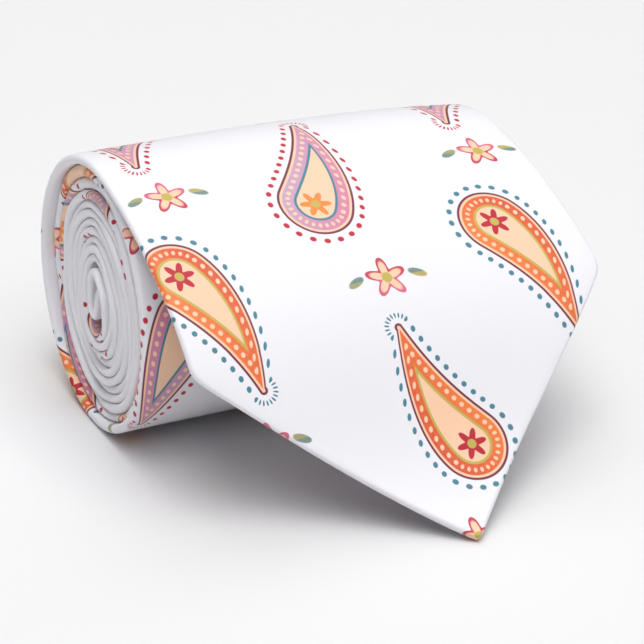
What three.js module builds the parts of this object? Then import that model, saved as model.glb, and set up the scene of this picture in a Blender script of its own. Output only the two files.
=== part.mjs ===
// A wide printed necktie, rolled up with its pointed blade left free.
// The tie is one long strip: a pointed blade, a narrow neck and a pointed tail.
// It is wound from the tail outwards, so the tail is the core of the roll and the blade is its outer turn.
// Millimetres, +Z up. X runs along the axis of the roll, and the point of the blade lies towards -Y.
import * as THREE from 'three';

// Sizes of the tie laid flat. Places along it are measured from the tip of the blade.
const TIE_LENGTH = 1397;
const BLADE_WIDTH = 101.6;
const NECK_WIDTH = 38;
const TAIL_WIDTH = 46;
const BLADE_TAPER = 0.09;
const NECK_ENDS = 1040;
const BLADE_THICKNESS = 2.2;
const TAIL_THICKNESS = 1.68;
const BLADE_THICKNESS_ENDS = 450;
const TAIL_THICKNESS_STARTS = 800;
const POINT_LENGTH = 54;
const NECK_STARTS = 740;
const TAIL_STARTS = 1000;
const TIP_WIDTH = 2.6;
const CORNER_ROUNDING = 1.2;
// The folded edges stand out past the faces between them by this much, so the roll rests on them
const RIM_STANDS_OUT = 0.02;

// The lining sewn to the back of the blade behind its point
const LINING_THICKNESS = 0.6;
const LINING_STARTS = 15;
const LINING_ENDS = 82;
const LINING_INSET = 13;
const LINING_TOP_SPREAD = 1.3;

// The roll. Radii are those of the middle of the cloth where the outer turn begins.
const ROLL_RADIUS_Y = 29.2;
const ROLL_RADIUS_Z = 31.8;
const CLOTH_GAP = 0.325;
const CUT_GAP = 0.3;
const STATIONS_PER_TURN = 30;
const STEPS_PER_STATION = 12;
const LEAST_FACET = 1;

// The free blade rises from the floor to the top of the roll, at these slopes in degrees
const BLADE_RUN = 101.2;
const BLADE_SLOPES = [28, 58, 34.5, 9.4];
const BLADE_STATIONS = 30;

// The blade leans to the right, so its outer turn stands out at the left. Pairs of place and X.
const TIP_X = 55;
const BLADE_LEAN = 3.9;
const LEFT_EDGE = [[0, 0], [47, 0.9], [75, -0.5], [110, -1.6], [150, -2.4], [200, -1.9], [260, -0.8],
  [330, -0.2], [480, 0.3], [620, -0.4], [780, 0.2], [930, -0.5], [1100, 0], [1250, -0.7], [1397, -1.5]];

// The turns grow tighter to the right, where fewer turns fill the roll. Pairs of X and sinking.
const SINK = [[-10, 0], [0, 0], [42, 0.75], [70, 2.1], [104, 5]];
const SINK_FADES = [25, 90];
const SINK_MARGIN = 5;
// Below this cosine of its angle the outer turn lies flat on the floor
const FLAT_COSINE = -0.99;

const DEGREE = Math.PI / 180;
const silk = new THREE.MeshStandardMaterial({ color: 0xf4f3f7, roughness: 0.42, metalness: 0 });
const lining = new THREE.MeshStandardMaterial({ color: 0xe9e8ee, roughness: 0.5, metalness: 0 });

// A smooth curve through pairs of place and value
function through(pairs) {
  const places = Float64Array.from(pairs, (pair) => pair[0]);
  const values = Float64Array.from(pairs, (pair) => pair[1]);
  const curve = new THREE.CubicInterpolant(places, values, 1, new Float64Array(1));
  const last = places[places.length - 1];
  return (place) => curve.evaluate(THREE.MathUtils.clamp(place, places[0], last))[0];
}

// Straight lines through pairs of place and value
function straight(pairs, place) {
  let next = 1;
  while (next < pairs.length - 1 && place > pairs[next][0]) next += 1;
  const [from, low] = pairs[next - 1];
  const [to, high] = pairs[next];
  return low + (high - low) * THREE.MathUtils.clamp((place - from) / (to - from), 0, 1);
}

function thicknessAt(place) {
  const thinned = THREE.MathUtils.smoothstep(place, BLADE_THICKNESS_ENDS, TAIL_THICKNESS_STARTS);
  return THREE.MathUtils.lerp(BLADE_THICKNESS, TAIL_THICKNESS, thinned);
}

// Width between the long edges: the blade narrows to the neck, and the tail widens again
function sidesAt(place) {
  const blade = BLADE_WIDTH - BLADE_TAPER * (place - BLADE_WIDTH / 2);
  const widened = THREE.MathUtils.smoothstep(place, NECK_ENDS, TIE_LENGTH - TAIL_WIDTH / 2);
  return Math.max(blade, THREE.MathUtils.lerp(NECK_WIDTH, TAIL_WIDTH, widened));
}

// The lesser of two numbers, eased where they come close, so that a corner is rounded
function easedLesser(one, other) {
  const eased = Math.log1p(Math.exp(-Math.abs(one - other) / CORNER_ROUNDING));
  return Math.min(one, other) - CORNER_ROUNDING * eased;
}

// Left and right edge in X. The blade leans, so the two sides of its point part at unlike angles.
const leftEdge = through(LEFT_EDGE);
const leftSpread = Math.tan((45 + BLADE_LEAN) * DEGREE);
const rightSpread = Math.tan((45 - BLADE_LEAN) * DEGREE);
function clothEdges(place) {
  const left = leftEdge(place);
  const sides = sidesAt(place);
  if (place > TIE_LENGTH / 2) {
    const middle = left + sides / 2;
    const half = easedLesser(sides / 2, TIP_WIDTH / 2 + TIE_LENGTH - place);
    return [middle - half, middle + half];
  }
  const pointLeft = TIP_X - TIP_WIDTH / 2 - place * leftSpread;
  const pointRight = TIP_X + TIP_WIDTH / 2 + place * rightSpread;
  return [-easedLesser(-left, -pointLeft), easedLesser(left + sides, pointRight)];
}

// The lining has a smaller point of its own, lies well in from the folded edges, and narrows again to
// its top, where the two folded flaps of the cloth meet at the middle of the back
function liningEdges(place) {
  const left = leftEdge(place);
  const right = left + sidesAt(place);
  const pointX = TIP_X - LINING_STARTS * Math.tan(BLADE_LEAN * DEGREE);
  const belowTop = LINING_THICKNESS + (LINING_ENDS - place) * LINING_TOP_SPREAD;
  const abovePoint = place - LINING_STARTS;
  const lowLeft = pointX - LINING_THICKNESS - abovePoint * leftSpread;
  const lowRight = pointX + LINING_THICKNESS + abovePoint * rightSpread;
  const middle = (left + right) / 2;
  return [
    Math.max(lowLeft, left + LINING_INSET, middle - belowTop),
    Math.min(lowRight, right - LINING_INSET, middle + belowTop),
  ];
}

// The path of the middle of the cloth in the YZ plane, from the tip over the top and round to the core
function windingPath() {
  const slope = through(BLADE_SLOPES.map((angle, i) => [i / (BLADE_SLOPES.length - 1), angle * DEGREE]));
  const endSlope = slope(1);
  const startAngle = -Math.atan2(Math.sin(endSlope) * ROLL_RADIUS_Y, Math.cos(endSlope) * ROLL_RADIUS_Z);
  const perRadian = (place) => (thicknessAt(place) + CLOTH_GAP) / (2 * Math.PI);
  const floorLevel = BLADE_THICKNESS / 2;
  const lowestRadius = ROLL_RADIUS_Z - perRadian(BLADE_RUN) * (Math.PI - startAngle);
  const centreZ = floorLevel + lowestRadius;

  const path = [{ place: 0, y: 0, z: 0, angle: startAngle }];
  const step = BLADE_RUN / BLADE_STATIONS;
  for (let i = 1; i <= BLADE_STATIONS; i += 1) {
    const before = path[i - 1];
    const angle = slope((i - 0.5) / BLADE_STATIONS);
    const y = before.y + step * Math.cos(angle);
    const z = before.z + step * Math.sin(angle);
    path.push({ place: i * step, y, z, angle: startAngle });
  }
  const tipZ = floorLevel * Math.cos(slope(0));
  const top = path[BLADE_STATIONS];
  const rise = (centreZ + ROLL_RADIUS_Z * Math.cos(startAngle) - tipZ) / top.z;
  for (const station of path) station.z = tipZ + station.z * rise;
  const centreY = top.y - ROLL_RADIUS_Y * Math.sin(startAngle);

  // The stations lie at the same angles on every turn, so that the facets of the turns nest
  const facet = 2 * Math.PI / STATIONS_PER_TURN;
  let place = BLADE_RUN;
  let angle = startAngle;
  let drop = 0;
  let number = Math.ceil(startAngle / facet) + 0.5;
  let { y, z } = top;
  while (place < TIE_LENGTH) {
    const span = (number * facet - angle) / STEPS_PER_STATION;
    for (let i = 0; i < STEPS_PER_STATION && place < TIE_LENGTH; i += 1) {
      angle += span;
      drop += perRadian(place) * span;
      const nextY = centreY + (ROLL_RADIUS_Y - drop) * Math.sin(angle);
      const nextZ = centreZ + (ROLL_RADIUS_Z - drop) * Math.cos(angle);
      place += Math.hypot(nextY - y, nextZ - z);
      y = nextY;
      z = nextZ;
    }
    const onFloor = Math.abs(number - STATIONS_PER_TURN / 2) < 1;
    path.push({ place, y, z: onFloor ? floorLevel : z, angle, number });
    number += 1;
  }
  path[path.length - 1].place = TIE_LENGTH;
  for (let i = 0; i < path.length; i += 1) {
    const from = path[Math.max(i - 1, 0)];
    const here = path[i];
    const to = path[Math.min(i + 1, path.length - 1)];
    const before = new THREE.Vector2(here.y - from.y, here.z - from.z).normalize();
    const after = new THREE.Vector2(to.y - here.y, to.z - here.z).normalize();
    const along = before.add(after).normalize();
    here.normal = new THREE.Vector2(-along.y, along.x);
  }
  return path;
}

// How far the cloth has sunk inwards at X. The roll sinks at its top, and its bottom stays on the floor.
function sinkAt(x, place, angle) {
  const topShare = Math.max(0, Math.cos(angle) - FLAT_COSINE) / (1 - FLAT_COSINE);
  return straight(SINK, x) * topShare * THREE.MathUtils.smoothstep(place, SINK_FADES[0], SINK_FADES[1]);
}

// Outline of the strip across its width, as pairs of X and height over the middle of the cloth.
// Its edges are round, and it has a corner at each X of the list, moved inwards where the strip is narrow.
function crossSection(left, right, thickness, columns) {
  const radius = Math.min(thickness, right - left) / 2;
  const room = right - left - 2 * radius;
  const apart = room / (columns.length + 2);
  const inner = columns.map((x, i) => {
    const least = left + radius + (i + 1) * apart;
    const most = right - radius - (columns.length - i) * apart;
    return THREE.MathUtils.clamp(x, least, most);
  });
  const turns = [90, 135, 180, 225, 270].map((angle) => angle * DEGREE);
  const half = thickness / 2;
  return [
    ...turns.map((turn) => [left + radius + radius * Math.cos(turn), half * Math.sin(turn)]),
    ...inner.map((x) => [x, RIM_STANDS_OUT - half]),
    ...turns.map((turn) => [right - radius - radius * Math.cos(turn), -half * Math.sin(turn)]),
    ...inner.reverse().map((x) => [x, half - RIM_STANDS_OUT]),
  ];
}

// A station at any place along the path
function stationAt(path, place) {
  const next = Math.max(1, path.findIndex((station) => station.place >= place));
  const from = path[next - 1];
  const to = path[next];
  const share = (place - from.place) / (to.place - from.place);
  return {
    y: THREE.MathUtils.lerp(from.y, to.y, share),
    z: THREE.MathUtils.lerp(from.z, to.z, share),
    angle: THREE.MathUtils.lerp(from.angle, to.angle, share),
    normal: from.normal.clone().lerp(to.normal, share).normalize(),
  };
}

// A closed strip of cloth along part of the path: a chain of outlines joined by facets.
// The layer is its thickness, its height over the middle of the tie's cloth, and its edges.
function strip(path, from, to, layer) {
  const stations = path.map((station) => station.place);
  const between = stations.filter((place) => place > from + LEAST_FACET && place < to - LEAST_FACET);
  const places = [from, ...between, to];
  const reach = Math.max(...places.map((place) => layer.edges(place)[1]));
  const columns = SINK.map(([x]) => x).filter((x) => x > 0 && x < reach - SINK_MARGIN);
  const points = [];
  const outlines = places.map((place) => {
    const { y, z, angle, normal } = stationAt(path, place);
    const [left, right] = layer.edges(place);
    const outline = crossSection(left, right, layer.thickness(place), columns);
    for (const [x, height] of outline) {
      const lift = layer.height(place) + height - sinkAt(x, place, angle);
      points.push(x, y + lift * normal.x, z + lift * normal.y);
    }
    return outline;
  });

  const size = outlines[0].length;
  const faces = [];
  for (let i = 0; i < places.length - 1; i += 1) {
    for (let j = 0; j < size; j += 1) {
      const here = i * size + j;
      const beside = i * size + (j + 1) % size;
      faces.push(here, here + size, beside, beside, here + size, beside + size);
    }
  }
  const cap = (outline) => {
    const corners = outline.map(([x, height]) => new THREE.Vector2(x, height));
    return THREE.ShapeUtils.triangulateShape(corners, []);
  };
  const last = (places.length - 1) * size;
  for (const [a, b, c] of cap(outlines[0])) faces.push(a, b, c);
  for (const [a, b, c] of cap(outlines[places.length - 1])) faces.push(last + a, last + c, last + b);
  const geometry = new THREE.BufferGeometry();
  geometry.setAttribute('position', new THREE.Float32BufferAttribute(points, 3));
  geometry.setIndex(faces);
  geometry.computeVertexNormals();
  return geometry;
}

const path = windingPath();
const tie = { thickness: thicknessAt, height: () => 0, edges: clothEdges };
const back = {
  thickness: () => LINING_THICKNESS,
  height: (place) => -thicknessAt(place) / 2 - CUT_GAP - LINING_THICKNESS / 2,
  edges: liningEdges,
};

// The tie is named in lengths: its point, its free front, and each full turn from the back of the roll.
// The first of these turns is the longest, so it is two lengths that part at the front of the roll.
const QUARTER = STATIONS_PER_TURN / 4;
const startsTurn = ({ number }) => (number - QUARTER) % STATIONS_PER_TURN === 0 || number === 3 * QUARTER;
const turnEnds = path.slice(0, -1).filter(startsTurn).map((station) => station.place);
const lengths = [['blade_point', 0], ['blade_front', POINT_LENGTH]];
const counts = { blade: 0, neck: 0, tail: 0 };
for (const place of turnEnds) {
  const zone = place < NECK_STARTS ? 'blade' : place < TAIL_STARTS ? 'neck' : 'tail';
  counts[zone] += 1;
  lengths.push([`${zone}_turn_${counts[zone]}`, place]);
}

const rolledTie = new THREE.Group();
function add(name, geometry, material) {
  const mesh = new THREE.Mesh(geometry, material);
  mesh.name = name;
  rolledTie.add(mesh);
}
lengths.forEach(([name, from], i) => {
  const to = i < lengths.length - 1 ? lengths[i + 1][1] : TIE_LENGTH;
  add(name, strip(path, i > 0 ? from + CUT_GAP : 0, to, tie), silk);
});
add('blade_lining', strip(path, LINING_STARTS, LINING_ENDS, back), lining);

// The origin is the middle of the box, at the floor
const box = new THREE.Box3().setFromObject(rolledTie);
const middle = box.getCenter(new THREE.Vector3());
rolledTie.position.set(-middle.x, -middle.y, -box.min.z);

export default rolledTie;
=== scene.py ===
# %% [markdown]
# # A rolled necktie, cut, folded, sewn and wound in Blender
#
# A necktie is a simple thing made with care. A shell of satin is cut flat, folded round a soft
# interlining and sewn up along the middle of its back. This lesson follows the tailor: the cloth is a
# flat grid first, then it is folded, sewn and rolled up. Every step moves the same vertices on, so the
# print that lies on the flat cloth goes round each folded edge as it does on the real tie.
#
# The frame is the packed model of the same tie. Everything here is built in its frame, in metres.

import math

import bpy
import numpy as np
from mathutils import Matrix, Vector


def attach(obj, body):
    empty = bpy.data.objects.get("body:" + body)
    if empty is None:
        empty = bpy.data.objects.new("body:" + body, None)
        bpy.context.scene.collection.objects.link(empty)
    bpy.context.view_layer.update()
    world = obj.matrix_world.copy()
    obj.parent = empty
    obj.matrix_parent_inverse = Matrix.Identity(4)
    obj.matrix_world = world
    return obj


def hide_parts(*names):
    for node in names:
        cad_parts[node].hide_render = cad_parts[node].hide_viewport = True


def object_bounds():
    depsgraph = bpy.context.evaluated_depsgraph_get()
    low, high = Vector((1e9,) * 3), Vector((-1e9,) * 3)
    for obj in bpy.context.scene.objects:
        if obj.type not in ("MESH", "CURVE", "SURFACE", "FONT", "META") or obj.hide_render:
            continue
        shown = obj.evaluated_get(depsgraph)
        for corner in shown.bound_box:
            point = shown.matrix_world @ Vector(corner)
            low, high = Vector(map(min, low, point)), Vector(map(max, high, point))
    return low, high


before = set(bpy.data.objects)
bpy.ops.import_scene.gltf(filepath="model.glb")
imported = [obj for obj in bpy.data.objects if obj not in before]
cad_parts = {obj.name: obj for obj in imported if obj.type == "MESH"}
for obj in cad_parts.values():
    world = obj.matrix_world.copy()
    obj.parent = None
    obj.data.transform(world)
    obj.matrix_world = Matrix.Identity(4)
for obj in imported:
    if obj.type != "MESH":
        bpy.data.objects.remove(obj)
cad_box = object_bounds()
print("frame nodes:", len(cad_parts), "box:", [tuple(round(v, 4) for v in c) for c in cad_box])

# %% [markdown]
# ## The sizes of the tie
#
# A tailor's sheet lists widths at a few places along the tie, and so does this one. All sizes are
# millimetres, and places are measured along the middle of the tie from the tip of its wide blade.

# %% Sizes of the tie laid flat
MM = 0.001
TIE_LENGTH = 1397.0
BLADE_WIDTH = 101.6
NECK_WIDTH = 38.0
TAIL_WIDTH = 46.0
BLADE_TAPER = 0.09
NECK_ENDS = 1040.0
BLADE_THICKNESS = 2.2
TAIL_THICKNESS = 1.68
THICK_UNTIL, THIN_FROM = 450.0, 800.0
TIP_WIDTH = 1.2
CORNER_ROUNDING = 1.1
print("laid flat:", BLADE_WIDTH, "by", TIE_LENGTH, "mm, neck", NECK_WIDTH, "mm, tail", TAIL_WIDTH, "mm")

# %% Sizes of the roll
ROLL_RADIUS_Y = 29.2
ROLL_RADIUS_Z = 31.8
CLOTH_GAP = 0.325
BLADE_RUN = 101.2
BLADE_SLOPES = [(0, 28), (1 / 3, 58), (2 / 3, 34.5), (1, 9.4)]
TIP_X = 55.0
BLADE_LEAN = math.radians(3.9)
LEFT_EDGE = [(0, 0), (47, 0.9), (75, -0.5), (110, -1.6), (150, -2.4), (200, -1.9), (260, -0.8),
             (330, -0.2), (480, 0.3), (620, -0.4), (780, 0.2), (930, -0.5), (1100, 0), (1250, -0.7),
             (1397, -1.5)]
SINK = [(-10, 0), (0, 0), (42, 0.75), (70, 2.1), (104, 5)]
SINK_FADES = (25.0, 90.0)
print("cloth wound on the roll:", TIE_LENGTH - BLADE_RUN, "mm")

# %% [markdown]
# ## Two drawing tools: a smooth curve and a soft corner
#
# A few pairs of place and value say how something changes along the tie. The curve through them is
# a Hermite spline whose slope at each pair is the mean of the slopes on its two sides. The soft corner
# takes the smaller of two numbers, but eases from one to the other, as cloth turns round a corner.

# %% Curve and corner
def smooth_through(pairs):
    x, y = (np.array(side, float) for side in zip(*pairs))
    secant = np.diff(y) / np.diff(x)
    slope = np.concatenate([secant[:1], (secant[1:] + secant[:-1]) / 2, secant[-1:]])

    def curve(at):
        at = np.clip(np.asarray(at, float), x[0], x[-1])
        i = np.clip(np.searchsorted(x, at, side="right") - 1, 0, len(x) - 2)
        width = x[i + 1] - x[i]
        p = (at - x[i]) / width
        start = (1 + 2 * p) * (1 - p) ** 2 * y[i] + p * (1 - p) ** 2 * width * slope[i]
        return start + p * p * (3 - 2 * p) * y[i + 1] + p * p * (p - 1) * width * slope[i + 1]

    return curve


def soft_min(a, b, rounding=CORNER_ROUNDING):
    return np.minimum(a, b) - rounding * np.log1p(np.exp(-np.abs(a - b) / rounding))


def soft_step(value, low, high):
    p = np.clip((np.asarray(value, float) - low) / (high - low), 0, 1)
    return p * p * (3 - 2 * p)


left_edge = smooth_through(LEFT_EDGE)
sink_depth = smooth_through(SINK)
print("left edge of the outer turn stands out to", round(float(left_edge(150)), 2), "mm")

# %% [markdown]
# ## The path of the cloth, seen from the end of the roll
#
# From the side the tie is one line: it lifts off the floor at its tip, climbs to the top of the roll
# and then winds inwards. A modeller could draw this with a Bezier curve and bend the strip along it
# with a Curve modifier. A formula is better here, because the turns have to lie exactly one thickness
# apart: each radian of the spiral loses its share of the cloth's thickness and of the air between.

# %% The winding path
def thickness_at(place):
    share = soft_step(place, THICK_UNTIL, THIN_FROM)
    return BLADE_THICKNESS + (TAIL_THICKNESS - BLADE_THICKNESS) * share


def winding_path(slope_steps=300, steps_per_turn=720):
    slope = smooth_through([(share, math.radians(angle)) for share, angle in BLADE_SLOPES])
    end = float(slope(1))
    start_angle = -math.atan2(math.sin(end) * ROLL_RADIUS_Y, math.cos(end) * ROLL_RADIUS_Z)
    floor_level = BLADE_THICKNESS / 2
    per_radian = (BLADE_THICKNESS + CLOTH_GAP) / math.tau
    centre_z = floor_level + ROLL_RADIUS_Z - per_radian * (math.pi - start_angle)

    step = BLADE_RUN / slope_steps
    slopes = slope((np.arange(slope_steps) + 0.5) / slope_steps)
    y = np.concatenate([[0], np.cumsum(step * np.cos(slopes))])
    z = np.concatenate([[0], np.cumsum(step * np.sin(slopes))])
    tip_z = floor_level * math.cos(float(slope(0)))
    z = tip_z + z * (centre_z + ROLL_RADIUS_Z * math.cos(start_angle) - tip_z) / z[-1]
    centre_y = y[-1] - ROLL_RADIUS_Y * math.sin(start_angle)
    rows = [(i * step, y[i], z[i], start_angle) for i in range(slope_steps + 1)]

    place, angle, drop, turn = BLADE_RUN, start_angle, 0.0, math.tau / steps_per_turn
    while place < TIE_LENGTH + 2:
        angle += turn
        drop += (float(thickness_at(place)) + CLOTH_GAP) / math.tau * turn
        next_y = centre_y + (ROLL_RADIUS_Y - drop) * math.sin(angle)
        next_z = centre_z + (ROLL_RADIUS_Z - drop) * math.cos(angle)
        place += math.hypot(next_y - rows[-1][1], next_z - rows[-1][2])
        rows.append((place, next_y, next_z, angle))
    return np.array(rows), (centre_y, centre_z)


spiral, roll_centre = winding_path()
turns = (spiral[-1, 3] - spiral[0, 3]) / math.tau
print("turns:", round(turns, 1), "centre of the roll:", np.round(roll_centre, 1))

# %% [markdown]
# ## The folded core
#
# A tie is rolled up from its narrow end. Fingers bend that end to and fro to start the roll, so the core
# is full of soft folds, with narrow gaps beside them and no round hole. A list of points, measured from
# the middle of the roll, gives this last bit of the path. Neighbouring folds lie a little more than one
# thickness apart. The curve through the points is walked in small steps, so that every place still lies
# its own length along the cloth.

# %% Fold the core
CORE_STARTS = 1346.0
CORE_SAMPLES = 600
CORE_FOLD = [(-0.4, 7.0), (1.9, 5.8), (3.0, 3.6), (3.2, 0.8), (2.98, -1.5), (2.6, -3.0), (2.15, -3.8),
             (1.45, -4.35), (0.65, -4.3), (0.0, -3.7), (-0.35, -2.85), (-0.68, -1.4), (-0.78, 0.3),
             (-0.77, 2.0), (-0.95, 3.1), (-1.5, 3.75), (-2.35, 3.85), (-3.05, 3.3), (-3.35, 2.2),
             (-3.45, 0.6), (-3.4, -1.6), (-2.9, -4.0), (-1.6, -6.15), (0.6, -6.9), (2.8, -5.95),
             (4.4, -3.6), (5.1, -0.8), (5.1, 1.4), (4.6, 3.6), (3.7, 5.4)]


def fold_core(rows):
    """Replaces the end of the spiral with the folded core."""
    kept = rows[rows[:, 0] < CORE_STARTS]
    lead_in = kept[[-40, -20, -1], 1:3]
    points = np.concatenate([lead_in, np.array(CORE_FOLD) + roll_centre])
    chord = np.concatenate([[0], np.cumsum(np.hypot(*np.diff(points, axis=0).T))])
    at = np.linspace(chord[2], chord[-1], CORE_SAMPLES)[1:]
    y, z = (smooth_through(list(zip(chord, points[:, i])))(at) for i in (0, 1))
    steps = np.hypot(np.diff(y, prepend=kept[-1, 1]), np.diff(z, prepend=kept[-1, 2]))
    place = kept[-1, 0] + np.cumsum(steps)
    core = np.stack([place, y, z, np.full_like(y, kept[-1, 3])], 1)
    return np.concatenate([kept, core])


path = fold_core(spiral)
along = np.gradient(path[:, 1:3], path[:, 0], axis=0)
along /= np.linalg.norm(along, axis=1)[:, None]
path_normal = np.stack([-along[:, 1], along[:, 0]], 1)
top_share = (1 + np.cos(path[:, 3])) / 2
print("cloth in the path:", round(path[-1, 0], 1), "mm, of which the core takes", TIE_LENGTH - CORE_STARTS)

# %% [markdown]
# ## The outline of the tie
#
# The two long edges come nearer from the blade to the neck and part again at the tail. Both ends are
# cut to a point of 90 degrees. The blade leans a little as it comes off the roll, so its point opens
# more to the left than to the right. The edges wander by a fraction of a millimetre, because nobody
# rolls a tie perfectly: that is what makes the end of the roll look like cloth and not like a spring.

# %% Edges of the tie
def sides_at(place):
    blade = BLADE_WIDTH - BLADE_TAPER * (place - BLADE_WIDTH / 2)
    widened = soft_step(place, NECK_ENDS, TIE_LENGTH - TAIL_WIDTH / 2)
    return np.maximum(blade, NECK_WIDTH + (TAIL_WIDTH - NECK_WIDTH) * widened)


WANDER_DEPTH, WANDER_FADES = 0.17, (240, 330)
LEAN_ENDS = 50
SMALLEST_HALF = 0.3
wander_rng = np.random.default_rng(7)
WANDER_WAVES = [(length, wander_rng.uniform(0, math.tau)) for length in (173, 97, 61, 38, 23)]


def wander(place):
    waves = sum(np.sin(math.tau * place / length + phase) for length, phase in WANDER_WAVES)
    return WANDER_DEPTH * waves * soft_step(place, *WANDER_FADES)


def tie_edges(place):
    left = left_edge(place) + wander(place)
    sides = sides_at(place)
    blunt_share = np.clip(place / TIP_WIDTH, 0, 1)
    blunt = TIP_WIDTH / 2 * np.sqrt(blunt_share * (2 - blunt_share))
    point_left = TIP_X - blunt - place * math.tan(math.pi / 4 + BLADE_LEAN)
    point_right = TIP_X + blunt + place * math.tan(math.pi / 4 - BLADE_LEAN)
    blade = -soft_min(-left, -point_left), soft_min(left + sides, point_right)
    middle = left + sides / 2
    half = np.maximum(soft_min(sides / 2, TIP_WIDTH / 2 + TIE_LENGTH - place), SMALLEST_HALF)
    at_tail = place > TIE_LENGTH / 2
    return np.where(at_tail, middle - half, blade[0]), np.where(at_tail, middle + half, blade[1])


def middle_at(place):
    """X of the tie's own middle line, which the print is laid out from."""
    leaning = TIP_X - place * math.tan(BLADE_LEAN)
    return np.where(place < LEAN_ENDS, leaning, left_edge(place) + sides_at(place) / 2)


widest = tie_edges(np.array([60.0]))
print("width above the point:", round(float(widest[1][0] - widest[0][0]), 1), "mm")

# %% [markdown]
# ## Cutting the shell
#
# The shell is a single piece of satin, twice as wide as the tie. A grid primitive is the natural
# start: its columns run along the tie and its rows across. Its UV map is written while the cloth
# is still flat, in centimetres, so the print and the weave are laid out as they are on the bolt.

# %% Cut the flat shell
BACK_COLUMNS, FOLD_COLUMNS, FRONT_COLUMNS = 12, 9, 26
columns = 2 * BACK_COLUMNS + 2 * FOLD_COLUMNS + FRONT_COLUMNS
TIP_PLACES = [0.0, 0.06, 0.22, 0.5, 0.85]
OUTER_STEP, OUTER_ENDS, CORE_STEP, ROWS_PER_TURN = 1.3, 330.0, 0.36, 84
wound = (spiral[:, 0] > OUTER_ENDS) & (spiral[:, 0] < CORE_STARTS)
wound_rows = int(np.ptp(spiral[wound, 3]) / math.tau * ROWS_PER_TURN)
wound_angles = np.linspace(spiral[wound, 3][0], spiral[wound, 3][-1], wound_rows)
row_places = np.concatenate([
    TIP_PLACES, np.arange(OUTER_STEP, OUTER_ENDS, OUTER_STEP),
    np.interp(wound_angles, spiral[wound, 3], spiral[wound, 0]),
    np.linspace(CORE_STARTS + CORE_STEP, TIE_LENGTH, int((TIE_LENGTH - CORE_STARTS) / CORE_STEP))])
rows = len(row_places) - 1


def add_grid(name, across, down):
    bpy.ops.object.select_all(action="DESELECT")
    bpy.ops.mesh.primitive_grid_add(x_subdivisions=across, y_subdivisions=down, size=2)
    grid = bpy.context.object
    grid.name = grid.data.name = name
    co = np.zeros(len(grid.data.vertices) * 3)
    grid.data.vertices.foreach_get("co", co)
    co = co.reshape(-1, 3)
    column = np.rint((co[:, 0] + 1) / 2 * across).astype(int)
    row = np.rint((co[:, 1] + 1) / 2 * down).astype(int)
    return grid, column, row


def lay_out_uv(grid, flat):
    """Writes each corner's place on the flat cloth, in centimetres, as the UV map."""
    layer = grid.data.uv_layers.active or grid.data.uv_layers.new()
    layer.name = "flat_cloth"
    corners = np.zeros(len(grid.data.loops), int)
    grid.data.loops.foreach_get("vertex_index", corners)
    layer.data.foreach_set("uv", (flat[corners] / 10).astype(np.float32).ravel())


tie, tie_column, tie_row = add_grid("tie_cloth", columns, rows)
print("shell grid:", columns, "by", rows, "faces:", len(tie.data.polygons))

# %% [markdown]
# ## Folding the shell round the interlining
#
# Seen in section, the cloth starts at the middle of the back, goes out to one edge, turns round it,
# crosses the front and comes home on the other side. The fold at each edge is soft and round, never
# pressed to a crease, so nine columns go round each one. The middle of the back dips where the two
# edges of the cloth meet.

# %% Fold: the section at every row
fold_turn = np.linspace(0, math.pi, FOLD_COLUMNS + 1)
PUFF_REACH = 2.6
TURN_PUFF, TURN_PUFF_STARTS, TURN_PUFF_ENDS = 0.22, (100, 160), (CORE_STARTS - 20, CORE_STARTS)
CORE_PUFF, CORE_PUFF_STARTS, CORE_PUFF_ENDS = 0.35, (CORE_STARTS + 3, CORE_STARTS + 12), (1358, 1363)
TIP_THICKNESS, TIP_THICKENS = 0.3, 2.2


def rim_puff(place):
    """How much thicker the soft fold at each edge is: a little on the turns, more where the core starts."""
    in_core = soft_step(place, *CORE_PUFF_STARTS) * (1 - soft_step(place, *CORE_PUFF_ENDS))
    in_turns = soft_step(place, *TURN_PUFF_STARTS) * (1 - soft_step(place, *TURN_PUFF_ENDS))
    return TURN_PUFF * in_turns + CORE_PUFF * in_core


def folded_section(place):
    """X of every column at each place, and its height over the middle of the cloth."""
    left, right = (edge[:, None] for edge in tie_edges(place))
    tip_limit = TIP_THICKENS * (right - left) + TIP_THICKNESS
    thick = np.minimum(thickness_at(place)[:, None], tip_limit)
    rim_thick = np.minimum(thick + rim_puff(place)[:, None], tip_limit)
    radius = np.minimum(rim_thick, right - left) / 2
    inner_left, inner_right = left + radius, right - radius
    middle = (inner_left + inner_right) / 2
    to_edge = np.linspace(0, 1, BACK_COLUMNS + 1)[None, :]
    front = np.linspace(0, 1, FRONT_COLUMNS + 1)[None, 1:]
    turn = fold_turn[None, 1:]
    x = np.concatenate([
        middle + (inner_left - middle) * to_edge,
        inner_left - radius * np.sin(turn),
        inner_left + (inner_right - inner_left) * front,
        inner_right + radius * np.sin(turn),
        inner_right + (middle - inner_right) * to_edge[:, 1:]], 1)
    flat = np.ones_like(to_edge)
    side = np.concatenate([-flat, -np.cos(turn), np.ones_like(front), np.cos(turn), -flat[:, 1:]], 1)
    from_rim = np.maximum(np.minimum(x - inner_left, inner_right - x), 0)
    h = side / 2 * (thick + (rim_thick - thick) * np.exp(-(from_rim / PUFF_REACH) ** 2))
    return x, h


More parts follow.
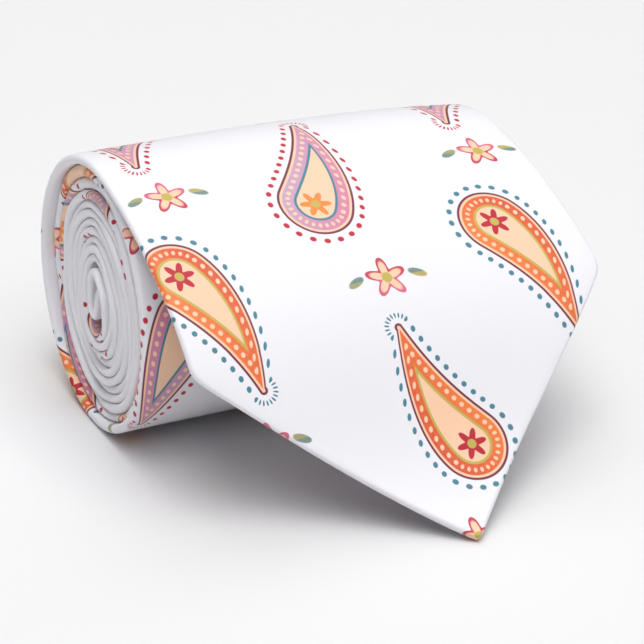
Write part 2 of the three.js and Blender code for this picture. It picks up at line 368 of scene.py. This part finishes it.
tie_x, tie_h = folded_section(row_places)
step_across = np.hypot(np.diff(tie_x, axis=1), np.diff(tie_h, axis=1))
unfolded = np.concatenate([np.zeros((rows + 1, 1)), np.cumsum(step_across, axis=1)], 1)
front_middle = BACK_COLUMNS + FOLD_COLUMNS + FRONT_COLUMNS // 2
shift = tie_x[:, front_middle] - middle_at(row_places)
unfolded += (shift - unfolded[:, front_middle])[:, None]
flat_place = np.stack([unfolded, np.repeat(row_places[:, None], columns + 1, 1)], -1)
lay_out_uv(tie, flat_place[tie_row, tie_column])
print("shell cut:", round(float(np.ptp(unfolded, axis=1).max()), 1), "mm across its widest part")

# %% The seam dips
SEAM_FROM, SEAM_FADE = 86.0, 4
SEAM_DEPTH, SEAM_REACH = 0.55, 0.9
FRONT_IS_FAR = 99
from_seam = np.where(tie_h < 0, tie_x - tie_x[:, :1], FRONT_IS_FAR)
sewn = soft_step(row_places, SEAM_FROM, SEAM_FROM + SEAM_FADE)[:, None]
tie_h = tie_h + SEAM_DEPTH * np.exp(-(from_seam / SEAM_REACH) ** 2) * sewn
print("the seam dips by", SEAM_DEPTH, "mm from", SEAM_FROM, "mm above the tip")

# %% [markdown]
# ## Winding
#
# Each vertex knows its place along the tie, its X and its height over the middle of the cloth. The
# place picks a point of the path, and the height goes out along the path's normal. Then the whole roll
# is shaped at once: it is slimmer to the right, where fewer turns fill it, the inner turns have settled
# by a millimetre, and a slow unevenness runs through it. On the roll these are moves of space and not
# of one turn, so neighbouring turns move together and keep their distance.

# %% Wind the cloth
SETTLED = 1.0
SETTLE_FADES = (23.0, 29.0)
RELIEF_DEPTH, RELIEF_FADES, RELIEF_LENGTH, RELIEF_WAVES = 0.035, (3.0, 20.0), 42, 7
SLIM_FADES = (BLADE_RUN, BLADE_RUN + 60)
relief_rng = np.random.default_rng(11)
RELIEF = [(relief_rng.uniform(-1, 1, 3) / RELIEF_LENGTH, relief_rng.uniform(0, math.tau))
          for _ in range(RELIEF_WAVES)]


def settle(points):
    """Moves the inner turns and the core down together."""
    y, z = points[..., 1] - roll_centre[0], points[..., 2] - roll_centre[1]
    from_centre = np.hypot(y, z * ROLL_RADIUS_Y / ROLL_RADIUS_Z)
    inside = 1 - soft_step(from_centre, *SETTLE_FADES)
    points[..., 2] -= SETTLED * inside
    return points


def slim(points, place, blade_way, sunk):
    """Makes the roll slimmer about its line on the floor, and pushes the free blade in against its way."""
    y, z = points[..., 1] - roll_centre[0], points[..., 2]
    roll_y, roll_z = sunk / (2 * ROLL_RADIUS_Z) * np.stack([y, z])
    blade_y, blade_z = sunk * blade_way[0], sunk * blade_way[1]
    on_roll = soft_step(place, *SLIM_FADES)
    points[..., 1] -= blade_y + (roll_y - blade_y) * on_roll
    points[..., 2] -= blade_z + (roll_z - blade_z) * on_roll
    return points


def make_uneven(points, place):
    """The slow unevenness of padded cloth, a tenth of a millimetre or so."""
    waves = sum(np.sin(math.tau * (points @ k) + phase) for k, phase in RELIEF)
    points[..., 1:] += (RELIEF_DEPTH * waves * soft_step(place, *RELIEF_FADES))[..., None]
    return points


def wind(x, height, place):
    """Points of the wound tie, in millimetres, from X, height over the middle of the cloth, and place."""
    columns_of_path = (*path[:, 1:3].T, *path_normal.T, top_share)
    y, z, ny, nz, share = (np.interp(place, path[:, 0], column) for column in columns_of_path)
    points = np.stack([x + 0 * y, y + height * ny, z + height * nz], -1)
    sunk = sink_depth(x) * soft_step(place, *SINK_FADES)
    return settle(make_uneven(slim(points, place, (ny * share, nz * share), sunk), place))


tie_points = wind(tie_x, tie_h, np.repeat(row_places[:, None], columns + 1, 1))
own_low, own_high = tie_points.reshape(-1, 3).min(0), tie_points.reshape(-1, 3).max(0)
cad_low, cad_high = (np.array(corner) / MM for corner in cad_box)
to_frame = (cad_low + cad_high - own_low - own_high) / 2
to_frame[2] = cad_low[2] - own_low[2]
print("own size:", np.round(own_high - own_low, 2), "frame's:", np.round(cad_high - cad_low, 2))
print("moved into the frame by", np.round(to_frame, 3), "mm")

# %% [markdown]
# ## Sewing it up
#
# The two edges of the shell now lie together along the middle of the back, and merging them by
# distance is the seam. The ends of the two points are filled with one face each, so the tie is a closed
# body with its faces outwards.

# %% Place the vertices and sew
def place_vertices(piece, points):
    co = ((points + to_frame) * MM).astype(np.float32)
    piece.data.vertices.foreach_set("co", co.ravel())
    piece.data.update()


def finish_mesh(piece, merge=0.00002):
    """Sews doubled vertices, closes open rings, turns the faces outwards and shades it smooth."""
    bpy.ops.object.select_all(action="DESELECT")
    piece.select_set(True)
    bpy.context.view_layer.objects.active = piece
    bpy.ops.object.mode_set(mode="EDIT")
    bpy.ops.mesh.select_all(action="SELECT")
    bpy.ops.mesh.remove_doubles(threshold=merge)
    bpy.ops.mesh.select_all(action="DESELECT")
    bpy.ops.mesh.select_mode(type="EDGE")
    bpy.ops.mesh.select_non_manifold()
    bpy.ops.mesh.fill_holes(sides=0)
    bpy.ops.mesh.select_all(action="SELECT")
    bpy.ops.mesh.normals_make_consistent(inside=False)
    bpy.ops.object.mode_set(mode="OBJECT")
    bpy.ops.object.shade_smooth()


place_vertices(tie, tie_points[tie_row, tie_column])
finish_mesh(tie)
print("tie:", len(tie.data.vertices), "vertices,", len(tie.data.polygons), "faces")

# %% [markdown]
# ## The lining behind the point
#
# Behind the point of the blade a tie shows its lining: a kite of plain satin that the folded cloth
# frames. It is a thin closed pad here: a grid in the shape of the kite, doubled, with its edge turned
# under, laid on the back of the blade.

# %% Lining
LINING_THICKNESS = 0.6
LINING_STARTS, LINING_ENDS, LINING_INSET, LINING_TOP_SPREAD = 15.0, 82.0, 13.0, 1.3
LINING_GAP = 0.3
LINING_TIP_HALF = 0.4
LINING_EDGE_ROUND = 0.5
PUCKER_DEPTH, PUCKER_REACH = 0.07, 3


def lining_edges(place):
    left = left_edge(place)
    right = left + sides_at(place)
    point_x = TIP_X - LINING_STARTS * math.tan(BLADE_LEAN)
    above = place - LINING_STARTS
    below_top = (LINING_ENDS - place) * LINING_TOP_SPREAD + LINING_TIP_HALF
    middle = (left + right) / 2
    low_left = point_x - LINING_TIP_HALF - above * math.tan(math.pi / 4 + BLADE_LEAN)
    low_right = point_x + LINING_TIP_HALF + above * math.tan(math.pi / 4 - BLADE_LEAN)
    return (np.maximum(np.maximum(low_left, left + LINING_INSET), middle - below_top),
            np.minimum(np.minimum(low_right, right - LINING_INSET), middle + below_top))


LINING_ACROSS, LINING_DOWN = 56, 70
lining_piece, lining_column, lining_row = add_grid("blade_lining_satin", LINING_ACROSS, LINING_DOWN)
lining_place = np.linspace(LINING_STARTS, LINING_ENDS, LINING_DOWN + 1)
low, high = lining_edges(lining_place)
round_share = np.linspace(0, math.tau, LINING_ACROSS + 1)
across_share = (1 - np.cos(round_share)) / 2
lining_x = low[:, None] + (high - low)[:, None] * across_share[None, :]
from_edge = np.minimum(lining_x - low[:, None], high[:, None] - lining_x)
edge_round = np.sqrt(np.clip(from_edge / LINING_EDGE_ROUND, 0, 1)) * np.sign(np.sin(round_share))[None, :]
pucker_turn = lining_place[:, None] * 1.1 + 0.7 * np.sin(lining_x * 0.5)
puckers = PUCKER_DEPTH * np.sin(pucker_turn) * np.exp(-from_edge / PUCKER_REACH)
lining_h = edge_round * LINING_THICKNESS / 2 + puckers * np.sign(edge_round + 1e-9)
lining_h -= BLADE_THICKNESS / 2 + LINING_GAP + LINING_THICKNESS / 2
lining_flat = np.stack([lining_x, np.repeat(lining_place[:, None], LINING_ACROSS + 1, 1)], -1)
lay_out_uv(lining_piece, lining_flat[lining_row, lining_column])
lining_points = wind(lining_x, lining_h, np.repeat(lining_place[:, None], LINING_ACROSS + 1, 1))
place_vertices(lining_piece, lining_points[lining_row, lining_column])
finish_mesh(lining_piece, merge=0.000002)
print("lining:", len(lining_piece.data.polygons), "faces")

# %% [markdown]
# ## The tack and the stitches
#
# Where the two flaps meet above the lining, a tailor sews a bar tack: close stitches over a short bar
# of thread. Small slip stitches hold the edge of the lining. One stitch is a sphere drawn out to a grain
# of thread. Blender's sphere primitive numbers its faces differently each time it is added, so here a
# small grid is rolled up into the sphere instead, which makes the same mesh on every run. Each stitch has
# its own mesh, laid on the cloth by the same winding as the cloth itself.

# %% Stitches
STITCH_WIDTH = 0.5
STITCH_SIDES, STITCH_RINGS = 8, 8
TACK_PLACE, TACK_WIDTH, TACK_STITCHES = 86.0, 9.0, 18
SLIP_PITCH = 4.5


def add_stitch(name, place, x, length, turn, depth):
    """A stitch of thread on the back of the blade. Its turn is from the direction along the tie."""
    stitch, column, row = add_grid(name, STITCH_SIDES, STITCH_RINGS)
    round_stitch, from_end = column * math.tau / STITCH_SIDES, row * math.pi / STITCH_RINGS
    side = STITCH_WIDTH / 2 * np.sin(from_end) * np.cos(round_stitch)
    up = STITCH_WIDTH / 2 * np.sin(from_end) * np.sin(round_stitch)
    lengthways = length / 2 * np.cos(from_end)
    arch = depth * (1 - (2 * lengthways / length) ** 2)
    at_x = x + lengthways * math.sin(turn) + side * math.cos(turn)
    at_place = place + lengthways * math.cos(turn) - side * math.sin(turn)
    place_vertices(stitch, wind(at_x, up - BLADE_THICKNESS / 2 - arch, at_place))
    return stitch


tack_x = float(middle_at(np.array(TACK_PLACE)))
stitches = [add_stitch("tack", TACK_PLACE, tack_x, TACK_WIDTH, math.pi / 2, 0.2)]
for share in np.linspace(-0.5, 0.5, TACK_STITCHES):
    stitches.append(add_stitch("tack", TACK_PLACE, tack_x + share * TACK_WIDTH, 2.2, 0.08, 0.45))
for place in np.arange(LINING_STARTS + 6, LINING_ENDS - 4, SLIP_PITCH):
    for edge, lean in zip(lining_edges(np.array(place)), (0.5, -0.5)):
        stitches.append(add_stitch("slip", float(place), float(edge), 1.6, lean, LINING_GAP + 0.2))
bpy.ops.object.select_all(action="DESELECT")
for stitch in stitches:
    stitch.select_set(True)
bpy.context.view_layer.objects.active = stitches[0]
bpy.ops.object.join()
stitches = bpy.context.object
stitches.name = stitches.data.name = "back_stitches"
finish_mesh(stitches, merge=0.000001)
print("stitches:", len(stitches.data.polygons), "faces")

# %% [markdown]
# ## Shader sums written as Python
#
# A material is a small machine of nodes. To keep its sums readable, one class wraps the output of a
# node: adding or multiplying two of them adds a Math node. Every other node comes from one method.

# %% Values and finishes
class Value:
    """The output of a node. Arithmetic on it adds Math nodes to its finish."""

    def __init__(self, finish, output):
        self.finish, self.output = finish, output

    def __add__(self, other):
        return self.finish.math("ADD", self, other)

    def __sub__(self, other):
        return self.finish.math("SUBTRACT", self, other)

    def __rsub__(self, other):
        return self.finish.math("SUBTRACT", other, self)

    def __mul__(self, other):
        return self.finish.math("MULTIPLY", self, other)

    def __truediv__(self, other):
        return self.finish.math("DIVIDE", self, other)

    __radd__ = __add__
    __rmul__ = __mul__


class Finish:
    """A material, with one method that adds its nodes and a few that use it."""

    def __init__(self, name):
        self.material = bpy.data.materials.new(name)
        self.material.use_nodes = True
        self.tree = self.material.node_tree
        self.tree.nodes.clear()

    def node(self, kind, settings=None, values=None, output=0):
        made = self.tree.nodes.new(kind)
        for key, value in (settings or {}).items():
            setattr(made, key, value)
        for key, value in (values or {}).items():
            if isinstance(value, Value):
                self.tree.links.new(value.output, made.inputs[key])
            else:
                made.inputs[key].default_value = value
        return Value(self, made.outputs[output])

    def math(self, operation, *values, clamp=False):
        settings = {"operation": operation, "use_clamp": clamp}
        return self.node("ShaderNodeMath", settings, dict(enumerate(values)))

    def mix(self, share, below, above):
        colours = {0: share, 6: below, 7: above}
        return self.node("ShaderNodeMix", {"data_type": "RGBA"}, colours, output=2)

    def inside(self, distance, softness):
        """1 where the distance is below nought and 0 above, with a soft edge."""
        return self.math("MULTIPLY_ADD", distance, -1 / softness, 0.5, clamp=True)

    def length(self, a, b):
        return self.math("SQRT", a * a + b * b)

    def noise(self, vector, scale, detail=2.0):
        values = {"Vector": vector, "Scale": scale, "Detail": detail}
        return self.node("ShaderNodeTexNoise", None, values)

    def surface(self, **sockets):
        """Ends the finish with one Principled shader."""
        values = {key.replace("_", " "): value for key, value in sockets.items()}
        shader = self.node("ShaderNodeBsdfPrincipled", None, values)
        out = self.tree.nodes.new("ShaderNodeOutputMaterial")
        self.tree.links.new(shader.output, out.inputs["Surface"])


print("a finish offers:", [name for name in vars(Finish) if not name.startswith("_")])

# %% [markdown]
# ## Printed satin
#
# The cloth is a white polyester satin: a dense diagonal twill, smooth, with a soft sheen. Its print is
# laid out on the flat cloth, so the finish reads the UV map and nothing else. The print is a
# traditional one for neckties: curved teardrops in a half-drop repeat, every other one turned over,
# with a small flower between them. Each teardrop is a sum: the distance from its outline picks
# the colour of its rings.

# %% Colours of the print
def colour(red, green, blue):
    """A colour from the 0 to 255 steps of a colour chart, made linear as shaders want it."""
    steps = [channel / 255 for channel in (red, green, blue)]
    return tuple(c / 12.92 if c < 0.04 else ((c + 0.055) / 1.055) ** 2.4 for c in steps) + (1.0,)


WHITE_SATIN = colour(237, 236, 241)
CRIMSON, CORAL, ORANGE = colour(190, 30, 52), colour(232, 70, 50), colour(244, 140, 62)
PEACH, PINK, LILAC = colour(250, 205, 172), colour(222, 110, 146), colour(190, 174, 200)
TEAL, OLIVE, MAROON = colour(70, 130, 150), colour(196, 176, 84), colour(120, 36, 62)
print("white satin in linear light:", [round(c, 3) for c in WHITE_SATIN])

# %% Threads of the satin
satin = Finish("printed_satin")
flat_cloth = satin.node("ShaderNodeUVMap", {"uv_map": "flat_cloth"})
across_cm = satin.node("ShaderNodeSeparateXYZ", None, {"Vector": flat_cloth}, output=0)
along_cm = satin.node("ShaderNodeSeparateXYZ", None, {"Vector": flat_cloth}, output=1)
across, along_tie = across_cm * 10, along_cm * 10
TWILL_PITCH = 0.42
twill_turns = (across + along_tie) * (math.tau / TWILL_PITCH)
twill = satin.math("SINE", twill_turns)
slub = satin.noise(satin.node("ShaderNodeVectorMath", {"operation": "MULTIPLY"},
                              {0: flat_cloth, 1: (9.0, 1.2, 1.0)}), 6.0, 3.0)
tone = satin.noise(flat_cloth, 0.9, 3.0)
print("one twill line each", TWILL_PITCH, "mm")

# %% The half-drop repeat
CELL_WIDTH, CELL_LENGTH = 38.0, 60.0
cell_column = satin.math("FLOOR", across / CELL_WIDTH + 0.5)
odd_column = satin.math("FLOORED_MODULO", cell_column, 2)
dropped = along_tie + odd_column * (CELL_LENGTH / 2)
cell_row = satin.math("FLOOR", dropped / CELL_LENGTH)
odd_row = satin.math("FLOORED_MODULO", cell_row, 2)
cell_x = across - cell_column * CELL_WIDTH
cell_y = dropped - (cell_row + 0.5) * CELL_LENGTH
turned_x, turned_y = cell_x * (1 - 2 * odd_row), cell_y * (1 - 2 * odd_column)
odd_cell = satin.math("FLOORED_MODULO", cell_column + cell_row, 2)
print("repeat:", CELL_WIDTH, "mm by", CELL_LENGTH, "mm")

# %% The teardrop, from its head to its curled tip
TEAR_TILT = math.radians(38)
HEAD_RADIUS, TIP_RADIUS, TEAR_LENGTH, TEAR_CURL = 8.4, 1.0, 27.0, 10.0
TEAR_SHIFT, TEAR_NARROWING = 0.42, 1.5
tear_x = turned_x * math.cos(TEAR_TILT) + turned_y * math.sin(TEAR_TILT)
tear_y = turned_y * math.cos(TEAR_TILT) - turned_x * math.sin(TEAR_TILT) + TEAR_LENGTH * TEAR_SHIFT
to_tip = satin.math("MULTIPLY", tear_y, 1 / TEAR_LENGTH, clamp=True)
from_middle = tear_x - to_tip * to_tip * TEAR_CURL
tear_radius = HEAD_RADIUS - satin.math("POWER", to_tip, TEAR_NARROWING) * (HEAD_RADIUS - TIP_RADIUS)
past_end = tear_y - to_tip * TEAR_LENGTH
tear = satin.length(from_middle, past_end) - tear_radius
round_cap = satin.math("ARCTAN2", satin.math("ABSOLUTE", from_middle), 0 - past_end)
round_outline = round_cap * HEAD_RADIUS + to_tip * TEAR_LENGTH
from_heart = satin.length(tear_x, tear_y)
round_heart = satin.math("ARCTAN2", tear_x, tear_y)
print("teardrop: about", HEAD_RADIUS + TEAR_LENGTH + TIP_RADIUS, "mm from its head to its tip")

# %% Dots in a row beside an outline
def dots(outline, along_outline, pitch, offset, radius):
    """A mask of round dots, each a pitch from the last, at an offset from an outline."""
    to_dot = (satin.math("FRACT", along_outline / pitch) - 0.5) * pitch
    return satin.inside(satin.length(to_dot, outline - offset) - radius, EDGE)


def paint(mask, ink):
    """Prints an ink over what is printed so far."""
    global print_colour
    print_colour = satin.mix(mask, print_colour, ink)


EDGE = 0.16
OUTLINE_ENDS, LIGHT_LINE_ENDS, RING_ENDS, INNER_LINE_ENDS = 0.55, 1.1, 3.7, 4.3
RING_DOTS, OUTER_DOTS = (2.1, -2.35, 0.55), (2.6, 1.75, 0.62)
HEART_RADIUS, HEART_SWING, HEART_PETALS, HEART_EYE = 2.6, 1.0, 6, 1.05
print_colour = satin.mix(satin.inside(tear, EDGE), WHITE_SATIN, MAROON)
across_tear = satin.math("MULTIPLY_ADD", from_middle, 0.5 / HEAD_RADIUS, 0.5, clamp=True)
brushed = satin.noise(flat_cloth, 14.0, 3.0) * 0.5 + across_tear * 0.6
warm = satin.mix(brushed, satin.mix(brushed, CRIMSON, CORAL), ORANGE)
cool = satin.mix(brushed, PINK, LILAC)
paint(satin.inside(tear + OUTLINE_ENDS, EDGE), PEACH)
paint(satin.inside(tear + LIGHT_LINE_ENDS, EDGE), satin.mix(odd_cell, warm, cool))
paint(dots(tear, round_outline, *RING_DOTS), PEACH)
paint(satin.inside(tear + RING_ENDS, EDGE), satin.mix(odd_cell, OLIVE, TEAL))
paint(satin.inside(tear + INNER_LINE_ENDS, EDGE), PEACH)
petals = from_heart - (HEART_RADIUS + HEART_SWING * satin.math("COSINE", round_heart * HEART_PETALS))
paint(satin.inside(petals, EDGE), satin.mix(odd_cell, CRIMSON, ORANGE))
paint(satin.inside(from_heart - HEART_EYE, EDGE), OLIVE)
paint(dots(tear, round_outline, *OUTER_DOTS), satin.mix(odd_cell, TEAL, CRIMSON))
print("teardrops printed with", len(satin.tree.nodes), "nodes so far")

# %% The small flower between the teardrops
FLOWER_RADIUS, FLOWER_SWING, FLOWER_PETALS, FLOWER_LINE, FLOWER_EYE = 3.6, 1.3, 5, 1.0, 1.2
LEAF_PLACE, LEAF_SLIMNESS, LEAF_LEAN, LEAF_RADIUS = 7.4, 0.5, 0.35, 1.0
flower_y = satin.math("FLOORED_MODULO", dropped + CELL_LENGTH / 2, CELL_LENGTH) - CELL_LENGTH / 2
flower_turn = satin.math("ARCTAN2", cell_x, flower_y)
from_flower = satin.length(cell_x, flower_y)
flower = from_flower - (FLOWER_RADIUS + FLOWER_SWING * satin.math("COSINE", flower_turn * FLOWER_PETALS))
paint(satin.inside(flower, EDGE), satin.mix(brushed, CRIMSON, PINK))
paint(satin.inside(flower + FLOWER_LINE, EDGE * 4), PEACH)
paint(satin.inside(from_flower - FLOWER_EYE, EDGE), OLIVE)
leaf_x = satin.math("ABSOLUTE", cell_x) - LEAF_PLACE
leaf = satin.length(leaf_x * LEAF_SLIMNESS, flower_y + leaf_x * LEAF_LEAN) - LEAF_RADIUS
paint(satin.inside(leaf, EDGE), satin.mix(brushed, TEAL, OLIVE))
print("flower:", 2 * (FLOWER_RADIUS + FLOWER_SWING), "mm across")

# %% The satin's surface
ink_tone = satin.mix(tone * 0.12, print_colour, satin.mix(0.35, print_colour, LILAC))
satin_height = twill * 0.5 + slub * 0.7
satin_bump = satin.node("ShaderNodeBump", None,
                        {"Height": satin_height, "Strength": 0.35, "Distance": 0.00003})
satin.surface(Base_Color=ink_tone, Roughness=0.46 + slub * 0.1, Normal=satin_bump,
              Sheen_Weight=0.25, Sheen_Roughness=0.35, Specular_IOR_Level=0.35,
              Subsurface_Weight=0.25, Subsurface_Radius=(1.0, 1.0, 1.0), Subsurface_Scale=0.001)
tie.data.materials.append(satin.material)
print("print:", len(satin.tree.nodes), "nodes")

# %% [markdown]
# ## Lining and thread
#
# The lining is a plainer, slightly greyer satin whose ribs run across it. The thread is a twisted
# polyester, so its finish has fine slanting plies, with painted shade darkening the grooves between them.

# %% Lining and thread finishes
plain = Finish("lining_satin")
lining_flat_cloth = plain.node("ShaderNodeUVMap", {"uv_map": "flat_cloth"})
lining_rib = plain.node("ShaderNodeSeparateXYZ", None, {"Vector": lining_flat_cloth}, output=1)
ribs = plain.math("SINE", lining_rib * (math.tau / 0.05))
lining_tone = plain.noise(lining_flat_cloth, 1.6, 3.0)
lining_bump = plain.node("ShaderNodeBump", None, {"Height": ribs, "Strength": 0.3, "Distance": 0.00003})
plain.surface(Base_Color=plain.mix(lining_tone, colour(232, 230, 236), colour(220, 218, 227)),
              Roughness=0.34 + lining_tone * 0.12, Normal=lining_bump, Sheen_Weight=0.2)
lining_piece.data.materials.append(plain.material)

thread = Finish("white_thread")
thread_place = thread.node("ShaderNodeTexCoord", None, None, output=3)
plies_and_groove_shade = thread.node("ShaderNodeTexWave", {"bands_direction": "DIAGONAL"},
                    {"Vector": thread_place, "Scale": 900.0, "Distortion": 0.5}, output=1)
thread_bump = thread.node("ShaderNodeBump", None, {"Height": plies_and_groove_shade, "Strength": 0.5, "Distance": 0.00005})
# Painted shade: the thread's colour is darker in the grooves between the plies and lighter on their tops.
thread.surface(Base_Color=thread.mix(plies_and_groove_shade, colour(226, 225, 232), colour(246, 245, 249)),
               Roughness=0.5 + 0.1 * plies_and_groove_shade, Normal=thread_bump)
stitches.data.materials.append(thread.material)
print("finishes on the tie:", [piece.data.materials[0].name for piece in (tie, lining_piece, stitches)])

# %% [markdown]
# ## The pieces ride on the frame
#
# The tie, its lining and its stitches ride on the frame's root, and the frame's own parts are hidden. Laid
# flat before it was rolled, the tie is 4 inches by 55 inches; its flat area is less than that box, because
# it narrows to the neck.

# %% Ride and replace
fine_places = np.linspace(0, TIE_LENGTH, 4000)
fine_left, fine_right = tie_edges(fine_places)
tie_nodes = [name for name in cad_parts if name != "blade_lining"]
for piece in (tie, lining_piece, stitches):
    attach(piece, "root")
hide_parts(*tie_nodes)
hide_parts("blade_lining")

# %% [markdown]
# ## Camera
#
# The photograph looks down at the tie from its front left with a long lens. The place, the roll of the
# camera and the length of the lens come from lining up the corners of the tie with the picture.

# %% Camera
CAMERA_AZIMUTH, CAMERA_ELEVATION = math.radians(25.55), math.radians(28.16)
CAMERA_DISTANCE, CAMERA_ROLL, CAMERA_LENS = 0.78062, math.radians(1.314), 214.62
CAMERA_TARGET = Vector((-0.03297, -0.05501, 0.06168))
back = Vector((-math.sin(CAMERA_AZIMUTH) * math.cos(CAMERA_ELEVATION),
               -math.cos(CAMERA_AZIMUTH) * math.cos(CAMERA_ELEVATION), math.sin(CAMERA_ELEVATION)))
level = Vector((math.cos(CAMERA_AZIMUTH), -math.sin(CAMERA_AZIMUTH), 0))
upright = back.cross(level)
right = level * math.cos(CAMERA_ROLL) + upright * math.sin(CAMERA_ROLL)
up = upright * math.cos(CAMERA_ROLL) - level * math.sin(CAMERA_ROLL)
camera = bpy.data.objects.new("camera", bpy.data.cameras.new("camera"))
bpy.context.scene.collection.objects.link(camera)
camera.data.lens = CAMERA_LENS
axes = Matrix((right, up, back)).transposed().to_4x4()
camera.matrix_world = Matrix.Translation(CAMERA_TARGET + back * CAMERA_DISTANCE) @ axes
bpy.context.scene.camera = camera
print("camera at", [round(c, 3) for c in camera.location])

# %% [markdown]
# ## Floor and light
#
# The tie lies on a plain pale floor that curves up far behind it on every side, like a photographer's
# sheet of paper, so no edge shows in a low view. The lamps are so wide that no shadow is hard. The strongest
# stands high in front and lights the sloping blade, one behind lights the top of the roll, and a weak one
# on the left reaches the end of the roll. The blade hangs over the floor like a roof, so the space under
# it is dark by itself. A small lamp nearly overhead gives that shadow its depth.

# %% Floor
SWEEP_HEIGHT, SWEEP_FADES = 0.3, (2.3, 2.95)
FLOOR_SIZE, FLOOR_CELLS = 6, 60
bpy.ops.object.select_all(action="DESELECT")
bpy.ops.mesh.primitive_grid_add(x_subdivisions=FLOOR_CELLS, y_subdivisions=FLOOR_CELLS, size=FLOOR_SIZE)
floor = bpy.context.object
floor.name = "floor"
for point in floor.data.vertices:
    point.co.z = SWEEP_HEIGHT * soft_step(point.co.to_2d().length, *SWEEP_FADES)
bpy.ops.object.shade_smooth()
paper = Finish("pale_floor")
paper_place = paper.node("ShaderNodeTexCoord", None, None, output=3)
paper_tone = paper.noise(paper_place, 3.0)
paper.surface(Base_Color=paper.mix(paper_tone, colour(227, 227, 228), colour(229, 229, 230)), Roughness=0.8,
              Specular_IOR_Level=0.1)
floor.data.materials.append(paper.material)
print("floor:", FLOOR_SIZE, "m square, raised to", SWEEP_HEIGHT, "m at its far ends")

# %% Lamps
LAMP_DISTANCE, AIM_HEIGHT, WORLD_STRENGTH = 3.0, 0.03, 0.01


def add_lamp(name, azimuth, elevation, size, power):
    """A square lamp aimed at the tie. Azimuth 0 is straight in front of it and 90 to its right."""
    a, e = math.radians(azimuth), math.radians(elevation)
    towards = Vector((math.sin(a) * math.cos(e), -math.cos(a) * math.cos(e), math.sin(e)))
    lamp = bpy.data.objects.new(name, bpy.data.lights.new(name, "AREA"))
    bpy.context.scene.collection.objects.link(lamp)
    lamp.data.size, lamp.data.energy = size, power
    place = Matrix.Translation(towards * LAMP_DISTANCE + Vector((0, 0, AIM_HEIGHT)))
    lamp.matrix_world = place @ towards.to_track_quat("Z", "Y").to_matrix().to_4x4()


add_lamp("front_soft_box", 0, 65, 2.6, 73)
add_lamp("back_soft_box", 160, 65, 2.6, 38)
add_lamp("left_soft_box", -90, 65, 2.6, 19)
add_lamp("top_lamp", -20, 80, 1.2, 13)
world = bpy.data.worlds.new("studio")
bpy.context.scene.world = world
world.use_nodes = True
background = world.node_tree.nodes["Background"]
background.inputs["Color"].default_value = (1, 1, 1, 1)
background.inputs["Strength"].default_value = WORLD_STRENGTH
bpy.context.scene.view_settings.view_transform = "Standard"

# %% [markdown] ## End of the scene
